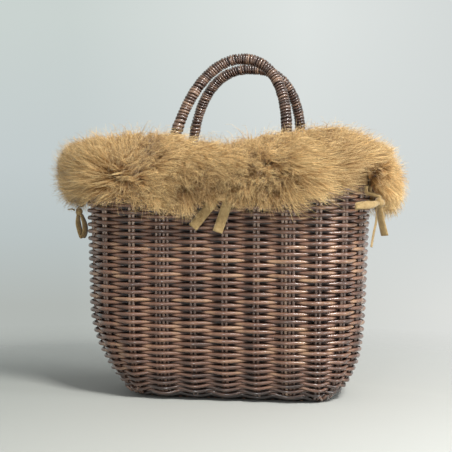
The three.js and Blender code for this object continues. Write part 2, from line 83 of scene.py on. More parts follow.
def flare_at(z):
    low = clamp(z / BOWL_HEIGHT)
    bowl = BOWL_FLARE * (1 - (1 - low) ** BOWL_ROUNDNESS) ** BOWL_EASE
    upper = mix(BOWL_FLARE, 1, (z - BOWL_HEIGHT) / (WALL_TOP - BOWL_HEIGHT))
    return np.where(z < BOWL_HEIGHT, bowl, upper)


def plan_at(z, inset):
    """Half length, half depth, corner radius and middle of the basket's loop at a height."""
    flare = flare_at(np.clip(z, 0, WALL_TOP))
    settled = clamp(z / SHIFT_HEIGHT)
    return (
        mix(BASE_LENGTH, TOP_LENGTH, flare) / 2 - inset,
        mix(BASE_DEPTH, TOP_DEPTH, flare) / 2 - inset,
        mix(BASE_CORNER, TOP_CORNER, flare) - inset,
        BASE_SHIFT * (1 - settled ** 2 * (3 - 2 * settled)),
    )


def loop_at(route, half_length, half_depth, corner, shift):
    """Point and normal at a distance along the loop, from the middle of its front side."""
    corner = np.minimum(corner, np.minimum(half_length, half_depth))
    flat_x, flat_y = half_length - corner, half_depth - corner
    arc = corner * np.pi / 2
    left = np.mod(route, 4 * flat_x + 4 * flat_y + 4 * arc)
    runs = [
        (flat_x, False, 0 * flat_x, -half_depth, -90),
        (arc, True, flat_x, -flat_y, -90),
        (2 * flat_y, False, half_length, -flat_y, 0),
        (arc, True, flat_x, flat_y, 0),
        (2 * flat_x, False, flat_x, half_depth, 90),
        (arc, True, -flat_x, flat_y, 90),
        (2 * flat_y, False, -half_length, flat_y, 180),
        (arc, True, -flat_x, -flat_y, 180),
        (flat_x, False, -flat_x, -half_depth, -90),
    ]
    found = np.zeros((4, *np.shape(left)))
    placed = np.zeros(np.shape(left), bool)
    for length, curved, start_x, start_y, degrees in runs:
        here = ~placed & (left <= length + 1e-9)
        angle = math.radians(degrees) + (left / corner if curved else 0 * left)
        nx, ny = np.cos(angle), np.sin(angle)
        if curved:
            run = (start_x + corner * nx, start_y + corner * ny, nx, ny)
        else:
            run = (start_x - ny * left, start_y + nx * left, nx, ny)
        found = np.where(here, run, found)
        placed |= here
        left = np.where(placed, left, left - length)
    x, y, nx, ny = found
    return x + shift, y, nx, ny


def route_of(share, half_length, half_depth, corner, shift):
    """Distance along the loop of a share of it; stake groups sit at whole 24ths."""
    corner = np.minimum(corner, np.minimum(half_length, half_depth))
    half = 2 * (half_length + half_depth - 2 * corner) + corner * np.pi
    turn = np.mod(share, 1)
    on_right = turn <= 0.5
    passed = np.where(on_right, turn, turn - 0.5) * GROUP_COUNT
    from_middle = CENTRE_SHIFT - shift
    route = half - np.where(on_right, 1, -1) * 2 * from_middle
    steady = STEADY_GROUPS * GROUP_PITCH
    rest = (route - 2 * steady) / (GROUP_COUNT / 2 - 2 * STEADY_GROUPS)
    inner = steady + (passed - STEADY_GROUPS) * rest
    far = route - (GROUP_COUNT / 2 - passed) * GROUP_PITCH
    place = np.where(passed <= STEADY_GROUPS, passed * GROUP_PITCH, inner)
    place = np.where(passed >= GROUP_COUNT / 2 - STEADY_GROUPS, far, place)
    return np.where(on_right, from_middle, half - from_middle) + place


def wall_point(share, z, out=0.0, along=0.0):
    """Points on the basket's wall; out is measured from its outer face."""
    share, z = np.broadcast_arrays(np.asarray(share, float), np.asarray(z, float))
    plan = plan_at(z, 0)
    x, y, nx, ny = loop_at(route_of(share, *plan), *plan)
    return np.stack([x + nx * out - ny * along, y + ny * out + nx * along, z], -1)


TOP_PLAN = tuple(float(value) for value in plan_at(np.array(float(WALL_TOP)), 0))
TOP_ROUND = 4 * (TOP_PLAN[0] + TOP_PLAN[1] - 2 * TOP_PLAN[2]) + TOP_PLAN[2] * 2 * math.pi


def collar_point(route, out, z):
    """Points round the rim, by millimetres from the front's middle stakes."""
    x, y, nx, ny = loop_at(np.asarray(route) + CENTRE_SHIFT, *TOP_PLAN)
    return np.stack([x + nx * out, y + ny * out, np.broadcast_to(z, np.shape(x))], -1)


def tie_frame(share):
    """Foot of what is tied at a share, and the directions along the wall, out of it and up."""
    route = route_of(np.array(float(share)), *TOP_PLAN)
    x, y, nx, ny = (float(value) for value in loop_at(route, *TOP_PLAN))
    return np.array([x, y, 0]), np.array([[-ny, nx, 0], [nx, ny, 0], UP])


# Meshes

def unit(vectors):
    return vectors / np.maximum(np.linalg.norm(vectors, axis=-1, keepdims=True), 1e-9)


def run_along(path):
    """Distance from the start of a path to each of its points."""
    steps = np.linalg.norm(np.diff(path, axis=0), axis=1)
    return np.concatenate([[0], np.cumsum(steps)])


def sample(place, knots, points):
    return np.stack([np.interp(place, knots, column) for column in points.T], -1)


def cross_frames(paths, hint, closed=False):
    """Width and depth directions square to each path, the width as near to the hint as can be."""
    if closed:
        run = unit(np.roll(paths, -1, 1) - np.roll(paths, 1, 1))
    else:
        run = unit(np.gradient(paths, axis=1))
    deep = unit(np.cross(run, np.broadcast_to(hint, paths.shape)))
    return np.cross(deep, run), deep


def new_object(name, data):
    made = bpy.data.objects.new(name, data)
    bpy.context.scene.collection.objects.link(made)
    return made


def add_object(name, verts, quads, uvs, fields, material, ends=None):
    """One smooth mesh from arrays. ends are the faces that close the tubes, as rows of corners."""
    mesh = bpy.data.meshes.new(name)
    faces = [quads] if ends is None else [quads, ends]
    loop_verts = np.concatenate([part.ravel() for part in faces])
    sizes = np.concatenate([np.full(len(part), part.shape[1]) for part in faces])
    mesh.vertices.add(len(verts))
    mesh.vertices.foreach_set("co", (verts * MM).astype(np.float32).ravel())
    mesh.loops.add(len(loop_verts))
    mesh.loops.foreach_set("vertex_index", loop_verts.astype(np.int32))
    mesh.polygons.add(len(sizes))
    starts = np.concatenate([[0], np.cumsum(sizes)[:-1]])
    mesh.polygons.foreach_set("loop_start", starts.astype(np.int32))
    mesh.polygons.foreach_set("loop_total", sizes.astype(np.int32))
    mesh.polygons.foreach_set("use_smooth", np.ones(len(sizes), bool))
    if uvs is not None:
        layer = mesh.uv_layers.new(name="OFBake")
        layer.data.foreach_set("uv", uvs.astype(np.float32).ravel())
    for key, values in fields.items():
        data = mesh.attributes.new(key, "FLOAT", "POINT")
        data.data.foreach_set("value", np.ascontiguousarray(values, np.float32).ravel())
    mesh.update()
    mesh.validate()
    mesh.materials.append(material)
    return new_object(name, mesh)


def spread_over(values, count, steps, sides):
    """Values for every corner of the tubes, from values for each tube, step or corner."""
    values = np.asarray(values)
    if values.ndim < 3:
        values = np.broadcast_to(values, (count, steps))[..., None]
    return np.broadcast_to(values, (count, steps, sides))


def tubes(name, paths, hint, half_wide, half_deep, material, sides=8, closed=False, fields=None):
    """Tubes of oval section along paths (tube, step, xyz), each closed at its ends."""
    paths = np.asarray(paths, float)
    count, steps, _ = paths.shape
    wide, deep = cross_frames(paths, hint, closed)
    angle = 2 * np.pi * (np.arange(sides) + 0.5) / sides
    half_wide, half_deep = (
        spread_over(values, count, steps, sides)[..., None] for values in (half_wide, half_deep)
    )
    rings = (
        paths[:, :, None]
        + half_wide * np.cos(angle)[:, None] * wide[:, :, None]
        + half_deep * np.sin(angle)[:, None] * deep[:, :, None]
    )
    runs = steps if closed else steps - 1
    tube, step, side = np.meshgrid(np.arange(count), np.arange(runs), np.arange(sides), indexing="ij")
    here, ahead = (tube * steps + step) * sides, (tube * steps + (step + 1) % steps) * sides
    beside = (side + 1) % sides
    quads = np.stack([here + side, here + beside, ahead + beside, ahead + side], -1).reshape(-1, 4)
    columns = 1 if closed else max(1, round(math.sqrt(count * sides * 2 / steps)))
    rows = math.ceil(count / columns)
    left, low = (tube % columns)[..., None], (tube // columns)[..., None]
    u = np.stack([step, step, step + 1, step + 1], -1) / runs * 0.98 + 0.01
    v = np.stack([side, side + 1, side + 1, side], -1) / sides * 0.9 + 0.05
    uvs = np.stack([(left + u) / columns, (low + v) / rows], -1).reshape(-1, 2)
    ends = None
    if not closed:
        dots = np.arange(count)
        start, ring = dots[:, None] * steps * sides, np.arange(sides)
        ends = np.concatenate([start + ring[::-1], start + (steps - 1) * sides + ring])
        u = np.concatenate([(dots % columns + edge) / columns for edge in (0.005, 0.995)])
        v = np.tile((dots // columns + 0.5) / rows, 2)
        uvs = np.concatenate([uvs, np.repeat(np.stack([u, v], -1), sides, axis=0)])
    spread = {key: spread_over(values, count, steps, sides) for key, values in (fields or {}).items()}
    return add_object(name, rings.reshape(-1, 3), quads, uvs, spread, material, ends=ends)


def smooth_path(points, steps):
    """A path through the points with rounded bends, in even steps."""
    points = np.asarray(points, float)
    padded = np.vstack([2 * points[0] - points[1], points, 2 * points[-1] - points[-2]])
    place = np.linspace(0, len(points) - 1 - 1e-9, steps)
    cell, t = place.astype(int), (place % 1)[:, None]
    p0, p1, p2, p3 = (padded[cell + k] for k in range(4))
    return 0.5 * (2 * p1 + (p2 - p0) * t + (2 * p0 - 5 * p1 + 4 * p2 - p3) * t ** 2
                  + (3 * p1 - p0 - 3 * p2 + p3) * t ** 3)


# Materials

def new_material(name):
    material = bpy.data.materials.new(name)
    material.use_nodes = True
    tree = material.node_tree
    return material, tree, tree.nodes["Principled BSDF"]


def feed(tree, node, inputs):
    """Link each input to an output, or give it a value of its own."""
    for key, value in inputs.items():
        if isinstance(value, bpy.types.NodeSocket):
            tree.links.new(value, node.inputs[key])
        else:
            node.inputs[key].default_value = value


def add_node(tree, kind, inputs=None, **settings):
    node = tree.nodes.new("ShaderNode" + kind)
    for key, value in settings.items():
        setattr(node, key, value)
    feed(tree, node, inputs or {})
    return node


def linear(colour):
    """Screen colour, 0 to 255, as the linear colour that the shader takes."""
    channels = [value / 255 for value in colour]
    return tuple(c / 12.92 if c <= 0.04045 else ((c + 0.055) / 1.055) ** 2.4 for c in channels) + (1.0,)


def ramp(tree, factor, stops, convert=linear):
    """Colours along a factor, given as on the screen unless converted otherwise."""
    node = add_node(tree, "ValToRGB", {"Fac": factor})
    elements = node.color_ramp.elements
    while len(elements) < len(stops):
        elements.new(0.5)
    for element, (place, colour) in zip(elements, stops):
        element.position = place
        element.color = convert(colour)
    return node.outputs["Color"]


def blend_colours(tree, factor, first, second, blend_type="MIX"):
    inputs = {"Factor": factor, 6: first, 7: second}
    node = add_node(tree, "Mix", inputs, data_type="RGBA", blend_type=blend_type)
    return node.outputs[2]


def noise(tree, vector, scale, detail=3.0, roughness=0.5):
    node = add_node(tree, "TexNoise", {
        "Vector": vector, "Scale": scale, "Detail": detail, "Roughness": roughness,
    })
    return node.outputs["Fac"]


def attribute(tree, name):
    return add_node(tree, "Attribute", attribute_name=name).outputs["Fac"]


def calculate(tree, operation, *values, clamp=False):
    inputs = dict(enumerate(values))
    return add_node(tree, "Math", inputs, operation=operation, use_clamp=clamp).outputs[0]


def weighted(tree, total, *parts):
    """A first value plus each further value times its weight."""
    for value, weight in parts:
        total = calculate(tree, "MULTIPLY_ADD", value, weight, total)
    return total


def object_point(tree, stretch=(1, 1, 1)):
    place = add_node(tree, "TexCoord").outputs["Object"]
    return add_node(tree, "Mapping", {"Vector": place, "Scale": stretch}).outputs[0]


def reed_material(name, dark, middle, light, gloss):
    """Stained, lacquered reed: fine streaks along it, blotches, and painted shade that darkens its colour and
    coat where it dips in.
    """
    material, tree, shader = new_material(name)
    streaks = noise(tree, object_point(tree, (1, 1, 9)), 160, 4, 0.65)
    blotches = noise(tree, object_point(tree), 45)
    tint, dip = attribute(tree, "tint"), attribute(tree, "dip")
    level = weighted(tree, -0.02, (streaks, 0.55), (blotches, 0.35), (tint, 0.42), (dip, -0.24))
    colour = ramp(tree, level, [(0.12, dark), (0.45, middle), (0.78, light)])
    # Painted shade: colour and coat are darkened where a reed dips in among the others or is tucked in under
    # the foot
    painted_shade_factor = calculate(tree, "MAXIMUM", weighted(tree, 1.0, (dip, -0.68)), 0.05)
    bump = add_node(tree, "Bump", {"Height": streaks, "Strength": 0.35, "Distance": 0.0006})
    feed(tree, shader, {
        "Base Color": blend_colours(tree, 1.0, colour, painted_shade_factor, "MULTIPLY"),
        "Coat Weight": calculate(tree, "MULTIPLY", painted_shade_factor, 0.75),
        "Coat Roughness": 0.16,
        "Roughness": weighted(tree, gloss - 0.1, (blotches, 0.25)),
        "Normal": bump.outputs[0],
    })
    return material


def fur_material(name, root, shaft, tip):
    """Hair: dark at the root, golden along it, pale at the tip, each tuft a shade of its own, and darker
    where its tone carries painted shade.
    """
    material, tree, shader = new_material(name)
    root, shaft, tip = linear(root), linear(shaft), linear(tip)
    paler = tuple(mix(a, b, 0.6) for a, b in zip(shaft, tip))
    stops = [(0.0, root), (0.3, shaft), (0.62, paler), (0.95, tip)]
    colour = ramp(tree, attribute(tree, "along"), stops, tuple)
    stops = [(0.0, (0.30, 0.21, 0.13, 1)), (0.5, (0.88, 0.85, 0.80, 1)), (1.0, (1.25, 1.25, 1.22, 1))]
    shade = ramp(tree, attribute(tree, "tone"), stops, tuple)
    feed(tree, shader, {
        "Base Color": blend_colours(tree, 1.0, colour, shade, "MULTIPLY"),
        "Roughness": 0.55, "Specular IOR Level": 0.35, "Sheen Weight": 0.15, "Sheen Roughness": 0.4,
    })
    return material


def suede_material(name, colour, dark):
    """Brushed ribbon: a soft nap, darker where it is rubbed."""
    material, tree, shader = new_material(name)
    nap = noise(tree, object_point(tree), 420)
    rubbed = noise(tree, object_point(tree), 60, 4, 0.6)
    level = weighted(tree, 0.0, (nap, 0.4), (rubbed, 0.6))
    bump = add_node(tree, "Bump", {"Height": nap, "Strength": 0.5, "Distance": 0.0004})
    feed(tree, shader, {
        "Base Color": ramp(tree, level, [(0.32, dark), (0.62, colour)]),
        "Roughness": 0.8, "Sheen Weight": 0.25, "Normal": bump.outputs[0],
    })
    return material


def cloth_material(name, colour, dark):
    """Plain woven cotton, as the lining band is cut from."""
    material, tree, shader = new_material(name)
    weave = add_node(tree, "TexChecker", {"Vector": object_point(tree), "Scale": 1400.0})
    level = weighted(tree, noise(tree, object_point(tree), 50, 4), (weave.outputs["Fac"], 0.25))
    feed(tree, shader, {"Base Color": ramp(tree, level, [(0.35, dark), (0.8, colour)]), "Roughness": 0.9})
    return material


lacquered = reed_material("lacquered_reed", (48, 31, 25), (113, 79, 62), (182, 146, 112), 0.38)
stake_finish = reed_material("stake_reed", (60, 44, 38), (116, 88, 74), (198, 168, 142), 0.22)
wrap_finish = reed_material("handle_wrap", (30, 20, 17), (80, 57, 46), (148, 118, 96), 0.26)
# Partly painted shade: the handle's core reeds are real, but their nearly black colours make the gaps between
# the winding's turns read as shade
core_painted_shade_finish = reed_material("handle_reed", (16, 11, 9), (30, 21, 18), (48, 35, 29), 0.5)
fur_finish = fur_material("fur", (100, 62, 28), (208, 160, 96), (248, 221, 166))
ribbon_finish = suede_material("ribbon", (176, 150, 102), (130, 104, 60))
lining_finish = cloth_material("lining", (150, 120, 78), (112, 86, 52))


# Camera, floor and lights

FLOOR_RADIUS = 2400
LAMP_TARGET = Vector((0, 0, 0.15))


def make_camera():
    distance, height, focal = 1250, 222, 1287.5
    around = math.radians(8.5)
    tilt, turn, roll = math.atan(61 / focal), math.atan(-3 / focal), math.radians(0.4)
    heading = around - turn
    ahead = Vector((-math.sin(heading) * math.cos(tilt), math.cos(heading) * math.cos(tilt), -math.sin(tilt)))
    right = ahead.cross(Vector((0, 0, 1))).normalized()
    up = right.cross(ahead)
    right, up = (right * math.cos(roll) + up * math.sin(roll), up * math.cos(roll) - right * math.sin(roll))
    data = bpy.data.cameras.new("camera")
    data.sensor_width = 36
    data.lens = 36 * focal / IMAGE_SIZE
    camera = new_object("camera", data)
    place = Matrix((right, up, -ahead)).transposed().to_4x4()
    place.translation = Vector((math.sin(around) * distance, -math.cos(around) * distance, height)) * MM
    camera.matrix_world = place
    bpy.context.scene.camera = camera


def seen_directly(tree):
    """One for what the camera sees, straight or in a gloss, and nought for light on its way."""
    path = add_node(tree, "LightPath").outputs
    seen = calculate(tree, "MAXIMUM", path["Is Camera Ray"], path["Is Glossy Ray"])
    return calculate(tree, "MAXIMUM", seen, path["Is Transmission Ray"])


def scaled(tree, value, factor, offset):
    """The value times a factor plus an offset, kept between 0 and 1."""
    return calculate(tree, "MULTIPLY_ADD", value, factor, offset, clamp=True)


def mix_shaders(tree, share, first, second, output):
    mixed = add_node(tree, "MixShader", {0: share, 1: first.outputs[0], 2: second.outputs[0]})
    tree.links.new(mixed.outputs[0], tree.nodes[output].inputs["Surface"])


def make_stage():
    """Pale round floor that takes the shadow and fades out into the evenly lit room."""
    material, tree, shader = new_material("studio_paper")
    point = add_node(tree, "TexCoord").outputs["Object"]
    place = add_node(tree, "SeparateXYZ", {"Vector": point})
    across = scaled(tree, place.outputs["X"], 1.4, 0.5)
    # Painted light: the floor is darker to the left and paler to the right, as the light falls across it
    floor = ramp(tree, across, [(0.15, (172, 176, 171)), (0.5, (186, 188, 183)), (0.85, (199, 201, 197))])
    feed(tree, shader, {"Base Color": floor, "Roughness": 0.9, "Specular IOR Level": 0.1})
    away = add_node(tree, "VectorMath", {0: point, 1: (0, -0.25, 0)}, operation="DISTANCE")
    faded = scaled(tree, away.outputs["Value"], 2.2, -0.75)
    share = calculate(tree, "MULTIPLY", seen_directly(tree), faded)
    clear = add_node(tree, "BsdfTransparent")
    mix_shaders(tree, share, shader, clear, "Material Output")
    turn = np.arange(96) / 96 * 2 * np.pi
    rim = np.stack([np.cos(turn), np.sin(turn), 0 * turn], -1) * FLOOR_RADIUS
    add_object("studio_floor", rim, np.arange(96)[None], None, {}, material)


def area_lamp(name, place, size, power, colour=(1, 1, 1)):
    data = bpy.data.lights.new(name, "AREA")
    data.shape = "RECTANGLE"
    data.size, data.size_y = size
    data.energy = power
    data.color = colour
    lamp = new_object(name, data)
    lamp.location = place
    lamp.visible_camera = False
    lamp.rotation_euler = (LAMP_TARGET - Vector(place)).to_track_quat("-Z", "Y").to_euler()


def make_room():
    """Soft light from all round; what the camera sees of it is a grey-blue backdrop."""
    world = bpy.data.worlds.new("studio")
    bpy.context.scene.world = world
    world.use_nodes = True
    tree = world.node_tree
    way = add_node(tree, "TexCoord").outputs["Generated"]
    place = add_node(tree, "SeparateXYZ", {"Vector": way})
    height = scaled(tree, place.outputs["Z"], 4.1, 0.444)
    # Painted light: the backdrop is darker low on the left and paler low on the right, as the light falls
    # across it
    left = ramp(tree, height, [
        (0.0, (178, 183, 179)), (0.22, (186, 195, 195)), (0.45, (195, 204, 205)), (0.9, (202, 211, 208)),
    ])
    middle = ramp(tree, height, [(0.0, (205, 208, 204)), (0.4, (212, 218, 217)), (0.9, (223, 228, 226))])
    right = ramp(tree, height, [(0.0, (229, 230, 227)), (0.28, (211, 216, 216)), (0.9, (207, 212, 211))])
    wall = blend_colours(tree, scaled(tree, place.outputs["X"], 5.74, 1.52), left, middle)
    wall = blend_colours(tree, scaled(tree, place.outputs["X"], 5.74, 0.52), wall, right)
    backdrop = add_node(tree, "Background", {"Color": wall, "Strength": 1.0})
    room = tree.nodes["Background"]
    feed(tree, room, {"Color": (0.97, 0.99, 1.0, 1), "Strength": 0.4})
    mix_shaders(tree, seen_directly(tree), room, backdrop, "World Output")


make_camera()
make_stage()
make_room()
area_lamp("key", (0.8, -1.0, 1.35), (0.4, 0.4), 36, (1.0, 0.985, 0.96))
area_lamp("window", (1.5, -0.35, 0.45), (0.4, 0.9), 10)
area_lamp("front", (-0.2, -1.9, 0.3), (0.16, 0.5), 8)
bpy.context.scene.view_settings.view_transform = "Standard"


def stand_in(piece, body, node):
    """Hang a piece on the body that it rides, and hide the solid that it stands in for."""
    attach(piece, body)
    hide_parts(node)


def basket_reeds(name, node, *shape, finish=lacquered, slot="lacquered_reed", closed=False,
                 tint=(-0.5, 0.5), **fields):
    """Reeds that ride the basket. A pair as tint is the range that each reed's tint is drawn from."""
    if isinstance(tint, tuple):
        tint = rng.uniform(*tint, (len(shape[0]), 1))
    piece = tubes(name, *shape, finish, closed=closed, fields={"tint": tint, **fields})
    stand_in(piece, "basket", node)


# Woven wall

ROW_COUNT = 66
ROW_SAMPLES = 240
WEAVE_SWING = 3.05
STAKE_SET_BACK = 0.9
STAKE_TURN_IN = 16
STAKE_WIDTH_HINT = (1, 0.2, 0)


def row_heights():
    """Heights of the rows on the flaring wall, beaten down closer towards the foot."""
    z = np.linspace(FOOT_HEIGHT + 1.6, WALL_TOP - 1.4, 400)
    run = run_along(wall_point(0, z))
    gaps = np.interp(np.arange(ROW_COUNT - 1), [0, 8, 18, 28, 40, 65], [0.8, 0.88, 0.97, 1.06, 1.0, 0.97])
    place = np.concatenate([[0], np.cumsum(gaps)])
    return np.interp(place / place[-1] * run[-1], run, z)


def soft_noise(waves):
    """Smooth random curves round the loop, one for each row, from about -1 to 1."""
    turn = np.arange(ROW_SAMPLES) / ROW_SAMPLES * 2 * np.pi
    curve = np.zeros((ROW_COUNT, ROW_SAMPLES))
    for wave in waves:
        size = rng.normal(0, 1, (ROW_COUNT, 1)) / math.sqrt(len(waves))
        curve += size * np.sin(wave * turn + rng.uniform(0, 2 * np.pi, (ROW_COUNT, 1)))
    return curve * 0.8


def droop(share, z):
    """How far the lowest rows sag: down at each group of stakes and at the corners, up between."""
    low = clamp(1 - (z - FOOT_HEIGHT) / 44) ** 1.4
    scallop = 3.3 * np.abs(np.cos(np.pi * GROUP_COUNT * share)) - 1.3
    corners = sum(sag * np.exp(-(((share - place) / 0.034) ** 2)) for place, sag, _ in CORNERS)
    return low * (scallop + corners * low ** 1.5)


def weave_rows():
    """Paths of the rows over and under the stakes, their half widths and depths, tint and painted shade."""
    rows = np.arange(ROW_COUNT)[:, None]
    share = np.arange(ROW_SAMPLES)[None] / ROW_SAMPLES
    phase = np.cos(np.pi * (GROUP_COUNT * share + rows))
    swing = np.sign(phase) * np.abs(phase) ** 1.6 * WEAVE_SWING
    level = row_heights()[:, None]
    z = level + soft_noise([2, 5, 9, 17]) * 0.28 - droop(share, level)
    paths = wall_point(share, z, -REED_INSET + swing)
    thick = 1 + soft_noise([3, 7, 12]) * 0.05
    thick = thick * np.interp(rows, [0, 8, 18], [0.86, 0.92, 1.0])
    patch = rng.uniform(-1, 1, (ROW_COUNT, GROUP_COUNT // 2))
    cell = (GROUP_COUNT * share / 2 + (rows % 2) / 2).astype(int) % (GROUP_COUNT // 2)
    tint = 0.16 * rng.normal(0, 1, (ROW_COUNT, 1)) + 0.22 * np.take_along_axis(patch, cell, 1)
    # Painted highlight: the tint is lighter near the ends of each float, where the reed bends round
    tint = tint + 0.3 * np.exp(-(((phase - 0.1) / 0.35) ** 2)) - 0.14
    # Painted shade: the lowest rows, turned down away from the light above, are darker
    tint = tint - 0.3 * clamp((55 - level) / 45)
    # A row is wide where it passes outside; painted shade darkens it where it dips in, on the sides that face
    # into the crevices
    facing = np.sin(2 * np.pi * (np.arange(8) + 0.5) / 8)
    phase = phase[..., None]
    outer = np.interp(phase, [-0.9, -0.3, 0.3, 1], [0.3, 1.15, 1.6, 1.85])
    inner = mix(1.95, 2.1, np.abs(phase))
    half_high = np.where(facing > 0, outer, inner) * thick[..., None]
    painted_crevice_shade = np.clip(-0.3 - phase * np.sign(facing), 0, 0.5) / 0.5
    flank = np.where((facing < 0) & (facing > -0.5), 0.8 * (1 - clamp(-phase)), 0)
    return paths, half_high, 1.45 * thick, tint, np.maximum(painted_crevice_shade, flank)


def make_wall():
    *shape, tint, dip = weave_rows()
    middle = ROW_COUNT // 2
    for name, part in (("wall_weave_low", slice(0, middle)), ("wall_weave_high", slice(middle, None))):
        paths, half_high, half_deep = (values[part] for values in shape)
        basket_reeds(name, "wall_weave", paths, UP, half_high, half_deep,
                     closed=True, tint=tint[part], dip=dip[part])


def stake_path(share, along):
    """One upright reed: it turns in under the base and follows the wall up to the border."""
    z = np.concatenate([[3.2, 3.6, 5.0], np.linspace(7.3, 40, 14), np.linspace(46, 221, 34)])
    under = clamp(1 - z / 7.3)
    out = -REED_INSET - STAKE_SET_BACK - STAKE_TURN_IN * under ** 1.3
    path = wall_point(share, z, out, along)
    path[:, 2] = np.maximum(z - 0.6 * droop(share, z), 2.4)
    return path


def make_stakes():
    for group in range(GROUP_COUNT):
        label = group + 1
        if group in HANDLE_GROUPS:
            runs = [(f"stake_{label:02d}a", [-SINGLE_OUT]), (f"stake_{label:02d}b", [SINGLE_OUT])]
        else:
            runs = [(f"stake_pair_{label:02d}", [-PAIR_HALF_PITCH, PAIR_HALF_PITCH])]
        for node, offsets in runs:
            paths = np.array([stake_path(group / GROUP_COUNT, along) for along in offsets])
            # Painted highlight: the stakes' tint rises with height, standing in for the glints on the upper
            # stakes
            tint = rng.uniform(-0.5, 0.5, (len(paths), 1)) * 0.4 + (paths[:, :, 2] - 110) / 110 * 0.5
            basket_reeds(f"{node}_reed", node, paths, STAKE_WIDTH_HINT, REED_RADIUS, REED_RADIUS,
                         finish=stake_finish, tint=tint)


def make_foot():
    """Last weavers under the wall: a scalloped row at its edge, and plain rows tucked in beneath."""
    share = np.arange(288) / 288
    rows = []
    for height, out in ((6.4, -4.2), (5.0, -8.0), (3.4, -11.0), (1.8, -13.4), (1.8, -16.6)):
        z = np.maximum(height - droop(share, FOOT_HEIGHT) * height / 7, 1.7)
        rows.append(wall_point(share, z, out))
    # Painted shade: the rows tucked in under the raised edge are darkened nearly to black, as in the shadow
    # there; the edge row less so
    dip = np.array([0.8, 1.6, 1.7, 1.7, 1.7])[:, None]
    basket_reeds("foot_ring_reeds", "foot_ring", rows, UP, 1.65, 1.6, closed=True, dip=dip)


def make_reed_ends():
    """Cut ends of stakes, crossed and tucked in under the four lower corners."""
    paths = []
    for place, _, low in CORNERS:
        for step, lean in ((-0.016, 0.75), (-0.005, -0.7), (0.007, 0.65), (0.017, -0.8)):
            along = np.linspace(-3.6, 3.6, 8) * lean
            out = 0.2 - 0.05 * along ** 2 + (0.5 if lean > 0 else -0.6)
            paths.append(wall_point(place + step, np.linspace(low + 5.5, low, 8), out - 1.2, along))
    basket_reeds("foot_ring_reed_ends", "foot_ring", paths, UP, 1.35, 1.2,
                 finish=stake_finish, tint=(-0.6, 0.3))


def make_base():
    """Flat reeds woven across the five sticks of the base."""
    half_length, half_depth, corner, shift = (float(value) for value in plan_at(np.array(3.5), 9.3))
    paths = []
    for index, x in enumerate(np.arange(-half_length + 2, half_length - 1.9, 3.4)):
        beyond = max(abs(x) - (half_length - corner), 0)
        reach = half_depth - corner + math.sqrt(max(corner ** 2 - beyond ** 2, 1)) - 1.5
        y = np.linspace(-reach, reach, 60)
        wave = np.cos(np.pi * y / 13 + np.pi * index)
        paths.append(np.stack([np.full(60, x + shift), y, 3.7 + 1.5 * wave], -1))
    basket_reeds("base_mat_reeds", "base_mat", paths, (1, 0, 0), 1.62, 1.2, tint=(-0.6, 0.6))
    for index in range(1, 6):
        node = f"base_stick_{index}"
        low, high = (np.array(corner_point) / MM for corner_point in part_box(node))
        x = np.linspace(low[0], high[0], 40)
        y = (low[1] + high[1]) / 2 + 0.15 * np.sin(x / 23 + index)
        path = np.stack([x, y, np.full(40, (low[2] + high[2]) / 2)], -1)
        basket_reeds(f"{node}_split", node, [path], (0, 1, 0), 3.1, 1.45, finish=stake_finish)


def make_border():
    """Stakes laid over into a rolled border: six strands wound round a core along the rim."""
    share = np.arange(480) / 480
    paths = []
    for strand, radius in enumerate([3.1] * 6 + [0]):
        angle = 2 * np.pi * (12 * share + strand / 6)
        path = wall_point(share, WALL_TOP, -REED_INSET + 1.35 * radius * np.cos(angle))
        path[:, 2] = (BORDER_BOTTOM + RIM_TOP) / 2 + 0.85 * radius * np.sin(angle)
        paths.append(path)
    basket_reeds("rim_border_strands", "rim_border", paths, UP, 1.7, 1.7, closed=True)


# Handles

# Name, share of the loop, way in, rise, lean, squareness, and how far each leg tucks in
HANDLES = (
    ("front", 0.0, 1, 93.8, 11.2, 2.14, 0.14, 0.075),
    ("back", 0.5, -1, 89.8, 9.5, 2.39, 0.055, 0.055),
)
LEG_OUT = 58.8
LEG_DEPTH = 69.5
ARCH_INWARD, ARCH_INWARD_POWER = 32, 1.2
ARCH_TUCK_HEIGHT = 0.15
CORE_STEPS = 120
WINDING_RADIUS = 4.6
WINDING_STEPS = 1200
STEPS_PER_TURN = 14


def even_arch(steps, inward, rise, lean, squareness, left_tuck, right_tuck):
    """A handle's centre line in even steps, and its length."""
    angle = np.pi * np.linspace(0, 1, 2001)
    power = 2 / squareness
    across = -np.sign(np.cos(angle)) * np.abs(np.cos(angle)) ** power
    lift = np.maximum(np.sin(angle), 0) ** power
    tuck = np.where(across < 0, left_tuck, right_tuck) * (1 - np.exp(-((lift / ARCH_TUCK_HEIGHT) ** 2)))
    x = CENTRE_SHIFT + LEG_OUT * across * (1 - tuck) + lean * lift
    y = inward * (-LEG_DEPTH + ARCH_INWARD * lift ** ARCH_INWARD_POWER)
    path = np.stack([x, y, RIM_TOP + rise * lift], -1)
    run = run_along(path)
    return sample(np.linspace(0, run[-1], steps), run, path), run[-1]


def make_handles():
    for name, centre, inward, *arch in HANDLES:
        step = inward * 2 / GROUP_COUNT
        legs = [
            stake_path(share, along)
            for share in (centre - step, centre + step)
            for along in (-PAIR_HALF_PITCH, PAIR_HALF_PITCH)
        ]
        basket_reeds(f"{name}_handle_legs", f"{name}_handle_bundle", legs, STAKE_WIDTH_HINT,
                     REED_RADIUS, REED_RADIUS, finish=stake_finish, slot="handle_reed")
        core, _ = even_arch(CORE_STEPS, inward, *arch)
        wide, deep = cross_frames(core[None], (0, 1, 0))
        angle = (2 * np.pi * np.arange(6)[:, None] / 6 + np.linspace(0, 3, CORE_STEPS))[..., None]
        strands = core + 2.0 * (wide * np.cos(angle) + deep * np.sin(angle))
        basket_reeds(f"{name}_handle_core", f"{name}_handle_bundle", strands, (0, 1, 0),
                     REED_RADIUS, REED_RADIUS, finish=core_painted_shade_finish, slot="handle_reed")
        make_winding(name, *even_arch(WINDING_STEPS, inward, *arch))


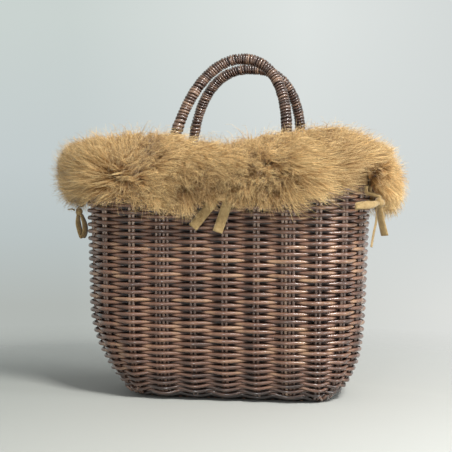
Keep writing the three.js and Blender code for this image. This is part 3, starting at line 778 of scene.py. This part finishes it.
def make_winding(name, fine, length):
    """One flat reed wound round the handle, its turns crowded on top and looser down the legs."""
    wide, deep = (side[0] for side in cross_frames(fine[None], (0, 1, 0)))
    place = np.linspace(0, 1, WINDING_STEPS)
    last = WINDING_STEPS - 1
    pitch = 2.45 + 0.9 * np.abs(2 * place - 1) ** 1.8 + 0.9 * clamp(1 - place / 0.3)
    uneven = np.random.default_rng(5).uniform(-1, 1, 90)
    pitch *= 1 + 0.2 * np.interp(place * 89, np.arange(90), uneven)
    turns = np.concatenate([[0], np.cumsum(length / last / ((pitch[1:] + pitch[:-1]) / 2))])
    count = math.floor(turns[-1])
    turn = np.linspace(0, count, count * STEPS_PER_TURN + 1)
    index = np.interp(turn, turns, place) * last
    angle = 2 * np.pi * turn

    def pick(values):
        return sample(index, np.arange(WINDING_STEPS), values)

    def ease(values):
        """One value for each turn, eased from each to the next."""
        return np.interp(turn, np.arange(count + 2), values)

    rough = ease(np.random.default_rng(3).normal(0, 1, count + 2))
    slant = ease(np.random.default_rng(6).normal(0, 0.3, count + 2))
    tint = ease(np.random.default_rng(4).uniform(-0.6, 0.6, count + 2))
    across, outward, run = pick(wide), pick(deep), pick(unit(np.gradient(fine, axis=0)))
    cosine, sine = np.cos(angle)[:, None], np.sin(angle)[:, None]
    radius = (WINDING_RADIUS + 0.16 * rough)[:, None]
    path = pick(fine) + across * radius * cosine + outward * radius * sine
    path = path + run * (np.sin(angle + 1.1) * slant * 2.2)[:, None]
    hint = run + (cosine * outward - sine * across) * 0.12
    half = np.interp(index, np.arange(WINDING_STEPS), pitch) * (0.43 + 0.05 * rough)
    basket_reeds(f"{name}_handle_winding", f"{name}_handle_wrap", [path], hint[None], half[None], 0.8,
                 finish=wrap_finish, slot="handle_wrap", tint=tint[None])


make_wall()
make_stakes()
make_foot()
make_reed_ends()
make_base()
make_border()
make_handles()


# Fur collar

SLIT_ROUTE = float(route_of(np.array(RIGHT_TIE), *TOP_PLAN)) - CENTRE_SHIFT
HALF_SLIT = 2.0
HEM_POINT_PITCH = 8.5
STRAND_COUNT = 19
LOCK_COLUMNS, LOCK_ROWS = 280, 17
HAIR_STEPS = 6
LOOSE_SHARE = 0.15
ROOTS_ABOVE_LOW, ROOTS_BELOW_HIGH = 15, 11
# The collar's rounded section: where it starts from the wall, its reach and its squareness
SWELL_START, SWELL_REACH, SWELL_SQUARENESS = 6, 22, 2.7

# Lowest and highest hair tips by distance from the front's middle
EDGE_ROUTE = (-165, -150, -124, -105, -85, -60, -40, -20, 0, 25, 38, 55, 72, 94, 107, 116, 134, 143,
              155, 175, 200, 225, 255, 290, 330, 370, 410, 450, 490, 530, 555)
EDGE_LOW = (182, 181, 183, 185, 182, 179, 179, 186, 192, 184, 182, 184, 188, 197, 204, 210, 212, 190,
            184, 181, 180, 181, 181, 179, 182, 179, 178, 181, 178, 182, 183)
EDGE_HIGH = (237, 239, 244, 248, 252, 253, 250, 246, 244, 247, 252, 254, 256, 258, 252, 246, 240, 237,
             233, 230, 228, 233, 242, 247, 247, 245, 247, 248, 243, 239, 236)

# How the hair lies on the front and the ends: along the rim, height, lie along it, lie upward
HAIR_LIES = (
    (-168, 228, -0.5, 0.75), (-166, 205, -0.9, -0.05), (-170, 188, -0.5, -0.8), (-132, 236, -0.5, 0.85),
    (-107, 246, -0.15, 1.0), (-90, 246, 0.05, 1.0), (-113, 222, -0.5, 0.85), (-95, 222, 0.0, 1.0),
    (-82, 228, 0.1, 1.0), (-138, 212, -0.8, 0.5), (-120, 204, -1.0, -0.1), (-107, 194, -0.75, -0.65),
    (-102, 184, -0.35, -0.95), (-92, 189, 0.0, -1.0), (-82, 194, 0.4, -0.85), (-76, 208, 0.7, 0.1),
    (-58, 242, 0.35, 0.9), (-42, 237, 0.85, 0.2), (-24, 236, 1.0, -0.15), (-5, 236, 0.9, -0.2),
    (-55, 222, 0.95, 0.0), (-33, 223, 1.0, -0.05), (-65, 192, 0.15, -0.95), (-46, 189, 0.25, -0.95),
    (-28, 189, -0.1, -1.0), (-10, 189, 0.35, -0.9), (8, 191, 0.05, -1.0), (22, 238, 0.0, 1.0),
    (37, 245, 0.5, 0.85), (27, 199, -0.25, -1.0), (45, 199, 0.4, -0.9), (63, 200, 0.6, -0.75),
    (58, 228, 0.8, 0.2), (70, 238, 0.5, 0.2), (80, 226, 0.5, -0.2), (71, 212, 0.7, -0.4),
    (85, 206, 0.6, -0.5), (96, 230, 0.3, 1.0), (106, 244, 0.3, 1.0), (94, 248, 0.1, 1.0), (88, 238, 0.1, 1.0),
    (104, 234, 0.4, 0.95), (114, 240, 0.5, 0.9), (112, 228, 0.65, 0.7), (122, 236, 0.6, 0.7),
    (126, 222, 0.9, 0.1), (106, 216, 0.7, -0.3), (116, 210, 0.8, -0.5),
    (78, 250, 0.15, 1.0), (60, 250, 0.15, 1.0), (152, 238, 0.5, 0.8), (156, 222, 0.8, 0.1),
    (154, 203, 0.5, -0.8), (176, 234, 0.25, 0.9), (180, 214, 0.4, -0.5), (178, 195, 0.15, -1.0),
    (202, 234, 0.0, 1.0), (204, 194, 0.0, -1.0),
)
LIE_REACH = 12
# Places that the hair grows away from behind: along the rim, height, reach, strength
PARTINGS = (
    (250, 226, 34, 0.4), (315, 202, 30, 0.4), (372, 228, 28, 0.35), (430, 204, 34, 0.4), (500, 226, 34, 0.35),
)
# Places where the tips turn out in short mottled locks: along the rim, height, length, reach up
MOTTLES = ((-12, 210, 50, 12), (42, 210, 20, 11), (-97, 203, 12, 7), (340, 214, 50, 10))
# Hollows between two lies of hair, where the hair is darkened as painted shade: along the rim, height, reach
HOLLOWS = ((-71, 227, 5), (-72, 219, 4), (88, 240, 6), (92, 228, 6), (94, 216, 6),
           (-20, 205, 6), (2, 214, 6), (-42, 208, 6))
# Stretches of darker or paler hair, partly its own tone and partly painted light (the left corner darker, the
# right end paler): along the rim, reach, change of tone
TONES = ((-140, 60, -0.05), (110, 40, -0.05), (165, 28, 0.14))


def around(route, centre):
    """Millimetres along the rim from a centre, by the shorter way round."""
    return np.mod(route - centre + TOP_ROUND / 2, TOP_ROUND) - TOP_ROUND / 2


def near_spot(route, z, centre, height, reach):
    return np.exp(-(around(route, centre) ** 2 + (z - height) ** 2) / (2 * reach ** 2))


def edges_at(route):
    """Heights of the lowest and the highest hair tips at places along the rim."""
    place = np.mod(route - EDGE_ROUTE[0], TOP_ROUND)
    places = np.append(np.array(EDGE_ROUTE) - EDGE_ROUTE[0], TOP_ROUND)
    return [np.interp(place, places, (*heights, heights[0])) for heights in (EDGE_LOW, EDGE_HIGH)]


def hair_flow(route, z):
    """Which way the hair lies, as shares along the rim and up, how mottled it is and how much painted shade
    it takes.
    """
    low, high = edges_at(route)
    along = 0.22 * np.sin(route / 31 + 1.3) + 0.12 * np.sin(route / 13.0 + z / 17)
    up = 0.95 * np.tanh((z - mix(low, high, 0.42)) / 11)
    for centre, height, reach, strength in PARTINGS:
        near = near_spot(route, z, centre, height, reach) * math.exp(0.5) * strength
        along = along + near * around(route, centre) / reach
        up = up + near * (z - height) / reach
    mottle = sum(
        np.exp(-(around(route, centre) / length) ** 4 - ((z - height) / rise) ** 2)
        for centre, height, length, rise in MOTTLES
    )
    total, along, up = 0.12, 0.12 * along, 0.12 * up
    for centre, height, lie_along, lie_up in HAIR_LIES:
        weight = near_spot(route, z, centre, height, LIE_REACH)
        total, along, up = total + weight, along + weight * lie_along, up + weight * lie_up
    slit = around(route, SLIT_ROUTE)
    along = along / total + 0.5 * np.sign(slit) * np.exp(-(slit / 9) ** 2)
    shade = sum(near_spot(route, z, *hollow) for hollow in HOLLOWS)
    return along, up / total, clamp(mottle), clamp(shade)


def skin_out(level):
    return 4.4 + 8.5 * np.sin(np.pi * clamp(level)) ** 0.8


def root_height(route, level):
    low, high = edges_at(route)
    return mix(low + ROOTS_ABOVE_LOW, high - ROOTS_BELOW_HIGH, level)


def grow_fur():
    """Locks of hair. Each lock has a guide that follows the flow, and its hairs draw in to it."""
    column, row = np.meshgrid(np.arange(LOCK_COLUMNS), np.arange(LOCK_ROWS), indexing="ij")
    count = column.size
    route = ((column + rng.uniform(-0.1, 1.1, column.shape)) / LOCK_COLUMNS * TOP_ROUND).ravel()
    level = ((row + rng.uniform(-0.1, 1.1, row.shape)) / LOCK_ROWS).ravel().clip(0, 1)
    lock_z = root_height(route, level)
    lock = np.repeat(np.arange(count), STRAND_COUNT)
    total = len(lock)
    loose = rng.random(total) < LOOSE_SHARE
    spread = np.where(loose, 3.2, 1.9)
    root_route = route[lock] + rng.normal(0, 1, total) * spread * 0.8
    root_level = clamp(level[lock] + rng.normal(0, 1, total) * spread / 52)
    slit = around(root_route, SLIT_ROUTE)
    root_route = root_route + np.sign(slit) * np.clip(HALF_SLIT + 0.6 - np.abs(slit), 0, None)

    # Each lock: its lie, length and curl, and the point it runs to at the lower edge
    along, up, mottle, shade = hair_flow(route, lock_z)
    mottle = mottle * clamp((level - 0.08) / 0.2)
    wave_along = np.sin(route / 1.7 + 1.1 * np.sin(lock_z / 2.7))
    ripple = wave_along * np.sin(lock_z / 1.5 + 1.3 * np.sin(route / 3.1))
    pit = mottle * clamp((ripple - 0.1) / 0.3)
    wander = rng.normal(0, 1, (2, count)) * mix(0.2, 0.8, mottle)
    at_hem = clamp((0.4 - level) / 0.2)
    point_count = int(TOP_ROUND / HEM_POINT_PITCH)
    pitch = TOP_ROUND / point_count
    cell = (route // pitch).astype(int) % point_count
    off_middle = np.mod(route, pitch) - pitch * rng.uniform(0.3, 0.7, point_count)[cell]
    point_length = rng.exponential(7.0, point_count)[cell]
    along, up = along + wander[0] - at_hem * off_middle / 24, up + wander[1] * mix(1, 0.4, at_hem)
    size = np.hypot(along, up)
    along, up = along / np.maximum(size, 1e-6), up / np.maximum(size, 1e-6)
    lean = mix(0.45, 1.28, clamp(size)) * mix(1, 0.48, mottle) + rng.normal(0, 0.1, count)
    length = rng.uniform(26, 36, count) * mix(1, 0.62, mottle) * mix(1, 0.5, pit)
    length = length * rng.uniform(0.85, 1.1, count)
    curl_turns = rng.uniform(0.3, 0.9, count) + mottle * 0.9
    curl_phase = rng.uniform(0, 2 * np.pi, count)
    curl_size = mix(0.8, 3.0, mottle) * rng.uniform(0.5, 1.4, count)
    draw = mix(0.4, 0.95, np.maximum(mottle, at_hem)) * rng.uniform(0.75, 1.03, count)
    tuft = point_length * (1.2 - 0.3 * np.abs(off_middle)) - 0.5 + rng.normal(0, 2, count)
    tuft = at_hem * tuft

    # Each hair: it leans over as its lock does, draws in to it and curls
    hair_length = length[lock] * rng.uniform(0.7, 1.08, total)
    hair_length = hair_length * np.where(loose, rng.uniform(1.0, 1.35, total), 1)
    hair_lean = lean[lock] + rng.normal(0, 1, total) * np.where(loose, 0.24, 0.09)
    turn = rng.normal(0, 1, total) * np.where(loose, 0.45, 0.14)
    hair_along = along[lock] * np.cos(turn) - up[lock] * np.sin(turn)
    hair_up = along[lock] * np.sin(turn) + up[lock] * np.cos(turn)
    t = np.linspace(0, 1, HAIR_STEPS)
    piece = hair_length / (HAIR_STEPS - 1)
    points = [np.stack([root_route, skin_out(root_level), root_height(root_route, root_level)])]
    for share in t[1:]:
        bend = hair_lean * (0.70 + 0.45 * share)
        ahead = np.stack([np.sin(bend) * hair_along, np.cos(bend), np.sin(bend) * hair_up - 0.10 * share])
        points.append(points[-1] + piece * ahead)
    rim, out, z = np.stack(points, -1)
    gather = np.where(loose, 0.15, draw[lock])[:, None] * t ** 1.3
    rim = mix(rim, route[lock][:, None] + rim - rim[:, :1], gather)
    z = mix(z, lock_z[lock][:, None] + z - z[:, :1], gather)
    spin = curl_phase[lock][:, None] + 2 * np.pi * curl_turns[lock][:, None] * t
    swirl = curl_size[lock][:, None] * t ** 1.2
    rim += swirl * np.cos(spin) * 0.8
    z += swirl * np.sin(spin) * 0.8
    out += swirl * np.sin(spin + 1.3) * 0.4

    # Hair past the collar's rounded section is pressed back, and none crosses the slit
    over = np.where(loose, rng.uniform(-1, 11, total), rng.normal(-2.0, 1.9, total) + tuft[lock])[:, None]
    low, high = edges_at(root_route[:, None])
    middle_z, half = (low + high) / 2, (high - low) / 2 + over
    beside, beyond = z - middle_z, np.maximum(out - SWELL_START, 0)
    reach = (np.abs(beside) / half) ** SWELL_SQUARENESS
    reach = reach + (beyond / (SWELL_REACH + over * 0.8)) ** SWELL_SQUARENESS
    pull = np.maximum(reach, 1) ** (-1 / SWELL_SQUARENESS)
    z = middle_z + beside * pull
    out = np.maximum(np.where(beyond > 0, SWELL_START + beyond * pull, out), 4.0)
    slit = around(rim, SLIT_ROUTE)
    crossing = (slit * slit[:, :1] < 0) & (np.abs(slit[:, :1]) < 60)
    rim = np.where(crossing, rim - slit * 0.9, rim)

    tone = 0.5 + rng.normal(0, 0.12, count)[lock] + rng.normal(0, 0.17, total)
    # Painted shade: the tone is darkened in the hollows and in the pits between curly locks; hair rooted low
    # is a little darker, and some mottled locks are darker at random
    tone -= 0.22 * shade[lock] + 0.10 * clamp(0.45 - root_level)
    tone -= (0.04 * mottle + 0.6 * pit + 0.4 * mottle * (rng.random(count) < 0.3))[lock]
    for centre, reach, change in TONES:
        tone += change * np.exp(-(around(root_route, centre) / reach) ** 2)
    along_field = t * rng.uniform(0.85, 1.1, (total, 1))
    tone_field = np.broadcast_to(tone[:, None], (total, HAIR_STEPS))
    thin = np.interp(t, [0, 0.5, 1], [0.19, 0.17, 0.04]) * rng.uniform(0.75, 1.2, (total, 1))
    thin = thin * np.where(loose, 0.7, 1.0)[:, None]
    return collar_point(rim, out, z), thin, along_field, tone_field


def make_fur():
    points, thin, along, tone = grow_fur()
    batch = 6000
    for index, start in enumerate(range(0, len(points), batch)):
        part = slice(start, start + batch)
        piece = tubes(f"fur_locks_{index + 1:02d}", points[part], (0.31, 0.52, 0.79), thin[part], thin[part],
                      fur_finish, sides=3, fields={"along": along[part], "tone": tone[part]})
        stand_in(piece, "collar", "fur_collar")


def round_collar(rings):
    """Places along the rim, from one lip of the slit round to the other."""
    return SLIT_ROUTE + HALF_SLIT + np.linspace(0, TOP_ROUND - 2 * HALF_SLIT, rings)


def make_undercoat():
    """Short dense wool on the skin of the collar."""
    rings, sides = 620, 22
    route = round_collar(rings)[:, None]
    low, high = edges_at(route)
    angle = 2 * np.pi * np.arange(sides)[None] / sides
    level = 0.5 - 0.5 * np.sin(angle)
    wave = 1 + 0.12 * np.sin(route / 3.1) * np.sin(5 * angle) + rng.normal(0, 0.06, (rings, sides))
    out = 4.2 + np.maximum(np.cos(angle), 0) ** 0.8 * (skin_out(level) - 3.2) * wave
    z = mix(low + 14, high - 12, level)
    verts = collar_point(np.broadcast_to(route, z.shape), out, z)
    step, cell = np.meshgrid(np.arange(rings - 1) * sides, np.arange(sides), indexing="ij")
    beside = (cell + 1) % sides
    quads = np.stack([step + cell, step + sides + cell, step + sides + beside, step + beside], -1)
    first = np.arange(sides)
    ends = np.stack([first, (rings - 1) * sides + first[::-1]])
    fields = {"along": np.full(z.shape, 0.16), "tone": 0.35 + rng.normal(0, 0.08, z.shape)}
    piece = add_object("fur_undercoat", verts.reshape(-1, 3), quads.reshape(-1, 4), None, fields,
                       fur_finish, ends=ends)
    stand_in(piece, "collar", "fur_collar")


def make_lining():
    """Cloth band that the fur is sewn to, open at the slit."""
    route = round_collar(400)
    height = LINING_TOP - LINING_BOTTOM
    path = collar_point(route, 2.85 + 0.12 * np.sin(route / 9), (LINING_BOTTOM + LINING_TOP) / 2)
    piece = tubes("collar_lining_band", [path], UP, height / 2, 0.55, lining_finish, sides=12)
    stand_in(piece, "collar", "collar_lining")


# Ribbon ties


def make_ribbon(node, share, points, width, across=(1, 0, 0), steps=40, taper=((0, 1), (1, 1))):
    """A flat ribbon along points given as along the wall, out of it and up."""
    foot, axes = tie_frame(share)
    path = foot + smooth_path(points, steps) @ axes
    half = width / 2 * np.interp(np.linspace(0, 1, steps), *taper)
    piece = tubes(f"{node}_ribbon", [path], np.dot(across, axes), half[None], 0.62, ribbon_finish)
    stand_in(piece, "collar", node)


def make_knot(node, share, centre, radius, length):
    """Ribbon drawn tight round itself: an upright band and two that cross it."""
    foot, axes = tie_frame(share)
    along, out, up = axes
    middle = foot + np.dot(centre, axes)
    turn = (np.arange(28) / 28 * 2 * np.pi)[:, None]
    rings, hints = [], []
    for tilt, size, lift in ((0.0, 1.0, 0.0), (0.5, 0.98, 0.4), (-0.45, 0.9, -0.5)):
        upright = up * math.cos(tilt) + along * math.sin(tilt)
        flat = along * math.cos(tilt) - up * math.sin(tilt)
        rings.append(middle + upright * lift + (flat * np.cos(turn) + out * np.sin(turn)) * radius * size)
        hints.append([upright])
    piece = tubes(f"{node}_bands", rings, np.array(hints), length * 0.36, 0.9, ribbon_finish, closed=True)
    stand_in(piece, "collar", node)


def make_ties():
    hem = (HEM_OUT, HEM_BOTTOM)
    left_tail = [(-6, *hem), (-6, HEM_OUT, 199.7), (-9, HEM_OUT, 189.7), (-17, HEM_OUT, 178.7),
                 (-28, 4.2, 164.7)]
    right_tail = [(6, *hem), (6, HEM_OUT, 199.7), (4.5, HEM_OUT, 189.7), (0, 3.1, 175.7), (-5, 4.2, 160.7)]
    for side, share in (("front", 0.0), ("back", 0.5)):
        make_ribbon(f"{side}_tie_tail_left", share, left_tail, 10)
        make_ribbon(f"{side}_tie_tail_right", share, right_tail, 10)
    make_knot("right_tie_knot", RIGHT_TIE, (0, 14, 188), 4.0, 8)
    for name, side in (("front", -1), ("back", 1)):
        strand = [(side * 4.5, *hem), (side * 4.5, HEM_OUT, 197.7), (side * 3, 9, 195.3),
                  (side * 1.6, 14, 193.5), (side * 1.6, 14, 192.3)]
        make_ribbon(f"right_tie_strand_{name}", RIGHT_TIE, strand, 4, (0, 1, 0.2))
    loop = [(-4.5, 15.6, 188), (-14, 14.4, 187), (-24, 10.4, 186), (-31, 6, 185), (-28, 3, 185),
            (-17, 7.6, 187), (-4.5, 12.4, 188)]
    make_ribbon("right_tie_loop", RIGHT_TIE, loop, 8, (0, 0, 1), 60,
                ([0, 0.12, 0.3, 0.46, 0.5, 0.54, 0.7, 0.88, 1], [0.4, 0.8, 1, 0.6, 0.4, 0.6, 1, 0.8, 0.4]))
    tail = [(0, 14.6, 184.5), (0.6, 15, 175.7), (2, 16.2, 167.7), (4, 18, 157.7)]
    make_ribbon("right_tie_tail_long", RIGHT_TIE, tail, 10, (-0.35, 1, 0),
                taper=([0, 0.25, 1], [0.55, 0.9, 1]))
    tail = [(5, 9.2, 184), (5, 9, 171.7), (3, 7.4, 159.7), (1, 6, 146.7)]
    make_ribbon("right_tie_tail_short", RIGHT_TIE, tail, 5)
    make_knot("left_tie_knot", LEFT_TIE, (0, 7, 175.5), 2.5, 7)
    strand = [(0, *hem), (0, HEM_OUT, 191.7), (0, HEM_OUT, 183.8), (0, 4, 181), (0, 7.5, 180.3),
              (0, 7.5, 179.3)]
    make_ribbon("left_tie_strand", LEFT_TIE, strand, 5)
    loop = [(0, 7.8, 173.5), (0, 8.0, 165.7), (0, 6.2, 157.0), (0, 3.6, 150.7), (0, 1.3, 155.7),
            (0, 1.6, 163.7), (0, 4.8, 173.0)]
    make_ribbon("left_tie_loop", LEFT_TIE, loop, 9, (0.88, 0.48, 0), 60, ([0, 0.2, 0.8, 1], [0.6, 1, 1, 0.6]))
    make_ribbon("left_tie_tail", LEFT_TIE, [(0, 11.4, 177), (0, 14.1, 178.2), (0, 17.6, 177.6)], 8)


make_undercoat()
make_fur()
make_lining()
make_ties()
